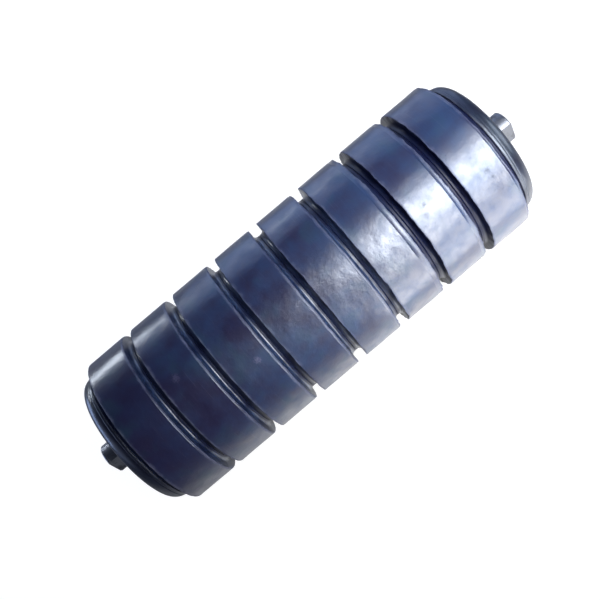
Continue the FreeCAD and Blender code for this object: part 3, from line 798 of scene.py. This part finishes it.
for side, outer_way in zip(SIDES, OUTER_WAYS):
    node = f"end_collar_{side}"
    collar = run_tree(f"collar_{side}", outline_mesh(node, collar_outline(outer_way)), lathe, {
        "Path Radius": TUBE_RADIUS, "Steps Round": STEPS_ROUND, "Place Along": middle_along(node),
        "Edge Wander": COLLAR_WANDER, "Wander Size": COLLAR_WANDER_SIZE,
        "Press Depth": COLLAR_PRESS_DEPTH, "Press Size": COLLAR_PRESS_SIZE, "Seed": COLLAR_SEED + outer_way,
        "Material": collar_rubber, "Groove Material": groove_rubber})
    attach(collar, "roller")
    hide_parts(node)
print("collars:", len(SIDES), "with", len(collar.data.polygons), "faces each")

# %% [markdown]
# ## Steel
# Three steels show on this object. The shaft is a bright bar, pulled cold through a die, which leaves fine
# lines along it and an oily stain. The bearings are ground round, and the circlips are spring steel that
# was blackened in hot phosphate. All are the same metal, so one function mixes them: only the colour,
# the gloss and the length and way of the fine lines change.

# %% Mix the steels
STAIN_PATCH = 10 * MM


def mix_steel(name, bright, stain, stain_from, gloss, line_size, line_depth):
    """Steel with fine tool lines and stains; line_size is how far a line reaches along x, y and z."""
    material, tree, place = new_material(name)
    drawn = add_node(tree, "ShaderNodeMapping", {"Vector": place, "Scale": [1 / size for size in line_size]})
    lines = add_node(tree, "ShaderNodeTexNoise", {"Vector": drawn, "Scale": 1.0, "Detail": 4.0})
    stains = add_node(tree, "ShaderNodeTexNoise", {
        "Vector": place, "Scale": 1 / STAIN_PATCH, "Detail": 7.0, "Roughness": 0.65})
    stained = add_node(tree, "ShaderNodeMapRange", {
        "Value": stains, "From Min": stain_from, "From Max": stain_from + 0.2, "To Max": 0.85})
    colour = add_node(tree, "ShaderNodeMix", {
        "Factor": stained, "A": linear(bright), "B": linear(stain)}, data_type="RGBA")
    metal = add_node(tree, "ShaderNodeMapRange", {"Value": stained, "To Min": 1.0, "To Max": 0.5})
    shine = add_node(tree, "ShaderNodeMapRange", {
        "Value": lines, "To Min": gloss - 0.1, "To Max": gloss + 0.12})
    shine = add_node(tree, "ShaderNodeMix", {"Factor": stained, "A": shine, "B": 0.7})
    relief = add_node(tree, "ShaderNodeBump", {"Height": lines, "Strength": 0.5, "Distance": line_depth})
    shader = add_node(tree, "ShaderNodeBsdfPrincipled", {
        "Base Color": colour, "Metallic": metal, "Roughness": shine, "Normal": relief})
    add_node(tree, "ShaderNodeOutputMaterial", {"Surface": shader})
    return material


# The real lines are about 0.05 mm wide, and are drawn coarser, so that they show.
FINE = 0.45 * MM
LONG = 45 * MM
shaft_steel = mix_steel(
    "cold_drawn_bright_steel", bright="#85878d", stain="#35302f", stain_from=0.54, gloss=0.42,
    line_size=(FINE, LONG, FINE), line_depth=0.006 * MM)
bearing_steel = mix_steel(
    "ground_bearing_steel", bright="#b4b6ba", stain="#3b3128", stain_from=0.66, gloss=0.20,
    line_size=(LONG, FINE, LONG), line_depth=0.005 * MM)
circlip_steel = mix_steel(
    "phosphated_spring_steel", bright="#4a4a4e", stain="#2b2623", stain_from=0.48, gloss=0.42,
    line_size=(FINE, FINE, FINE), line_depth=0.01 * MM)
print("steels:", shaft_steel.name, bearing_steel.name, circlip_steel.name)

# %% [markdown]
# ## Black enamel
# The tube and the pressed housings are sprayed with black enamel. Sprayed paint dries with a soft orange-peel
# skin, takes a film of dust, and starts to rust where a stone has chipped it. A plain glossy black would look
# like plastic, so the peel, the dust and the chips are each a noise of their own size.

# %% Mix the enamel
PAINT_PEEL = 2.4 * MM
PAINT_PEEL_DEPTH = 0.03 * MM
DUST_PATCH = 13 * MM
CHIP = 3.2 * MM
CHIP_DEPTH = 0.1 * MM


def mix_enamel(name, paint, dust, rust, rust_from):
    """Sprayed enamel: orange peel, thin dust and small rusty chips."""
    material, tree, place = new_material(name)
    peel = add_node(tree, "ShaderNodeTexNoise", {"Vector": place, "Scale": 1 / PAINT_PEEL, "Detail": 1.0})
    film = add_node(tree, "ShaderNodeTexNoise", {"Vector": place, "Scale": 1 / DUST_PATCH, "Detail": 5.0})
    filmed = add_node(tree, "ShaderNodeMapRange", {
        "Value": film, "From Min": 0.42, "From Max": 0.75, "To Max": 0.55})
    chips = add_node(tree, "ShaderNodeTexNoise", {
        "Vector": place, "Scale": 1 / CHIP, "Detail": 4.0, "Roughness": 0.7})
    chipped = add_node(tree, "ShaderNodeMapRange", {
        "Value": chips, "From Min": rust_from, "From Max": rust_from + 0.05})
    colour = add_node(tree, "ShaderNodeMix", {
        "Factor": filmed, "A": linear(paint), "B": linear(dust)}, data_type="RGBA")
    colour = add_node(tree, "ShaderNodeMix", {
        "Factor": chipped, "A": colour, "B": linear(rust)}, data_type="RGBA")
    dulled = add_node(tree, "ShaderNodeMath", {0: filmed, 1: chipped}, operation="MAXIMUM")
    shine = add_node(tree, "ShaderNodeMapRange", {"Value": dulled, "To Min": 0.26, "To Max": 0.78})
    relief = add_node(tree, "ShaderNodeBump", {"Height": peel, "Strength": 0.5, "Distance": PAINT_PEEL_DEPTH})
    pits = add_node(tree, "ShaderNodeBump", {
        "Height": chipped, "Strength": 0.6, "Distance": CHIP_DEPTH, "Normal": relief}, invert=True)
    shader = add_node(tree, "ShaderNodeBsdfPrincipled", {
        "Base Color": colour, "Roughness": shine, "Normal": pits, "IOR": 1.5})
    add_node(tree, "ShaderNodeOutputMaterial", {"Surface": shader})
    return material


black_enamel = mix_enamel(
    "sprayed_black_enamel", paint="#202226", dust="#66625d", rust="#7a4a2c", rust_from=0.69)
weld_enamel = mix_enamel(
    "sprayed_enamel_on_weld", paint="#2c2a28", dust="#6e665e", rust="#8a5230", rust_from=0.60)
print("made", black_enamel.name, "and", weld_enamel.name)

# %% [markdown]
# ## Moulded nylon
# The seals are black nylon, the covers dark grey, and the bearing cages are nylon with glass fibre in its
# natural cream. Moulded nylon is satin: the tool is spark-eroded, which prints a fine even grain, and the
# melt leaves faint flow clouds. Each could be mixed by itself, but they differ only in their two colours,
# so one function mixes them all.

# %% Mix the nylons
FLOW_CLOUD = 15 * MM
# The real grain is about 0.1 mm, and is drawn coarser, so that it shows.
SPARK_GRAIN = 0.7 * MM
SPARK_GRAIN_DEPTH = 0.03 * MM


def mix_nylon(name, colour, cloud):
    """Moulded nylon: flow clouds and a fine spark-eroded grain."""
    material, tree, place = new_material(name)
    flow = add_node(tree, "ShaderNodeTexNoise", {
        "Vector": place, "Scale": 1 / FLOW_CLOUD, "Detail": 4.0, "Distortion": 1.2})
    grain = add_node(tree, "ShaderNodeTexNoise", {"Vector": place, "Scale": 1 / SPARK_GRAIN, "Detail": 2.0})
    clouded = add_node(tree, "ShaderNodeMapRange", {"Value": flow, "From Min": 0.38, "From Max": 0.68})
    shine = add_node(tree, "ShaderNodeMapRange", {"Value": flow, "To Min": 0.36, "To Max": 0.56})
    relief = add_node(tree, "ShaderNodeBump", {
        "Height": grain, "Strength": 0.5, "Distance": SPARK_GRAIN_DEPTH})
    tone = add_node(tree, "ShaderNodeMix", {
        "Factor": clouded, "A": linear(colour), "B": linear(cloud)}, data_type="RGBA")
    shader = add_node(tree, "ShaderNodeBsdfPrincipled", {
        "Base Color": tone, "Roughness": shine, "Normal": relief, "IOR": 1.53})
    add_node(tree, "ShaderNodeOutputMaterial", {"Surface": shader})
    return material


cover_nylon = mix_nylon("moulded_grey_nylon", colour="#363940", cloud="#4a4e56")
seal_nylon = mix_nylon("moulded_seal_nylon", colour="#191c22", cloud="#2b3038")
cage_nylon = mix_nylon("glass_filled_cage_nylon", colour="#c9bd97", cloud="#b3a67e")
print("nylons:", cover_nylon.name, seal_nylon.name, cage_nylon.name)

# %% [markdown]
# ## Dress the solids
# The shaft, the tube, the housings, the bearings, the seals and the circlips already have their right shape
# in the solid model. They could be modelled again here, but two shapes of one piece can drift apart, so they
# stay as they are and only get their finish.

# %% Give each solid its finish
FINISHES = {
    "shaft": shaft_steel, "shell_tube": black_enamel, "bearing_housing": black_enamel,
    "rubber_ring": ring_rubber, "end_collar": collar_rubber,
    "bearing_outer_race": bearing_steel, "bearing_inner_race": bearing_steel, "bearing_balls": bearing_steel,
    "bearing_cage": cage_nylon, "labyrinth_outer": seal_nylon, "labyrinth_inner": seal_nylon,
    "grease_seal": seal_nylon, "dust_cover": cover_nylon, "circlip": circlip_steel}

for node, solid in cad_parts.items():
    stem = next(stem for stem in FINISHES if node.startswith(stem))
    solid.data.materials.clear()
    solid.data.materials.append(FINISHES[stem])
print("dressed", len(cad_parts), "solids with", len(set(FINISHES.values())), "finishes")

# %% [markdown]
# ## The weld beads
# Each housing is welded to the tube all the way round. A weld bead is a row of small frozen puddles, each
# laid half over the last. It could be a torus with a bumpy material, but the ripple shows at the edge of the
# bead, so Geometry Nodes carry a small circle round a path and swell it once for each puddle.

# %% Swell the bead at each puddle
RIPPLE_STEPS = 7
BEAD_POINTS = 10
# In metres: the bead swells and thins about every 11 mm.
DRIFT_SIZE = 1 / 90

weld = bpy.data.node_groups.new("weld", "GeometryNodeTree")
given = add_inputs(weld, {
    "Path Radius": "Float", "Bead Radius": "Float", "Puddles": "Int", "Ripple": "Float",
    "Unevenness": "Float", "Place Along": "Float", "Seed": "Float", "Material": "Material"})
steps = add_node(weld, "ShaderNodeMath", {0: given["Puddles"], 1: RIPPLE_STEPS}, operation="MULTIPLY")
path = add_node(weld, "GeometryNodeCurvePrimitiveCircle", {
    "Radius": given["Path Radius"], "Resolution": steps})
bead = add_node(weld, "GeometryNodeCurvePrimitiveCircle", {
    "Radius": given["Bead Radius"], "Resolution": BEAD_POINTS})
number = add_node(weld, "GeometryNodeInputIndex")
share = add_node(weld, "ShaderNodeMath", {0: number, 1: RIPPLE_STEPS}, operation="DIVIDE")
share = add_node(weld, "ShaderNodeMath", {0: share}, operation="FRACT")
dip = add_node(weld, "ShaderNodeMath", {0: share, 1: given["Ripple"]}, operation="MULTIPLY")
drift = add_node(weld, "ShaderNodeTexNoise", {
    "W": given["Seed"], "Scale": 1 / DRIFT_SIZE, "Detail": 1.0}, noise_dimensions="4D")
drift = add_node(weld, "ShaderNodeMapRange", {"Value": drift, "To Min": -1.0, "To Max": 1.0})
drift = add_node(weld, "ShaderNodeMath", {0: drift, 1: given["Unevenness"]}, operation="MULTIPLY")
swell = add_node(weld, "ShaderNodeMath", {0: drift, 1: dip}, operation="SUBTRACT")
swell = add_node(weld, "ShaderNodeMath", {0: swell, 1: 1.0})
print("points along one puddle:", RIPPLE_STEPS)

# %% Sweep the bead round the tube
swept = add_node(weld, "GeometryNodeCurveToMesh", {"Curve": path, "Profile Curve": bead, "Scale": swell})
along = add_node(weld, "ShaderNodeCombineXYZ", {"Y": given["Place Along"]})
turned = add_node(weld, "GeometryNodeTransform", {
    "Geometry": swept, "Translation": along, "Rotation": (math.pi / 2, 0, 0)})
smooth = add_node(weld, "GeometryNodeSetShadeSmooth", {"Geometry": turned})
real = add_node(weld, "GeometryNodeRealizeInstances", {"Geometry": smooth})
coated = add_node(weld, "GeometryNodeSetMaterial", {"Geometry": real, "Material": given["Material"]})
add_node(weld, "NodeGroupOutput", {"Geometry": coated})
print("weld tree:", len(weld.nodes), "nodes")

# %% Lay the weld beads
BEAD_RADIUS = 2.1 * MM
TUBE_WALL = 4 * MM
BEAD_OFFSET = 0.5 * MM
PUDDLES = 130
RIPPLE = 0.28
UNEVENNESS = 0.25
WELD_SEED = 20.0

for side, outer_way in zip(SIDES, OUTER_WAYS):
    housing_low, housing_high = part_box(f"bearing_housing_{side}")
    housing_face = housing_high.y if outer_way > 0 else housing_low.y
    bead_piece = run_tree(f"weld_bead_{side}", bpy.data.meshes.new("weld_path"), weld, {
        "Path Radius": TUBE_RADIUS - TUBE_WALL - BEAD_OFFSET, "Bead Radius": BEAD_RADIUS, "Puddles": PUDDLES,
        "Ripple": RIPPLE, "Unevenness": UNEVENNESS, "Place Along": housing_face + outer_way * BEAD_OFFSET,
        "Seed": WELD_SEED + outer_way, "Material": weld_enamel})
    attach(bead_piece, "roller")
print("weld beads:", len(SIDES), "with", len(bead_piece.data.polygons), "faces each")
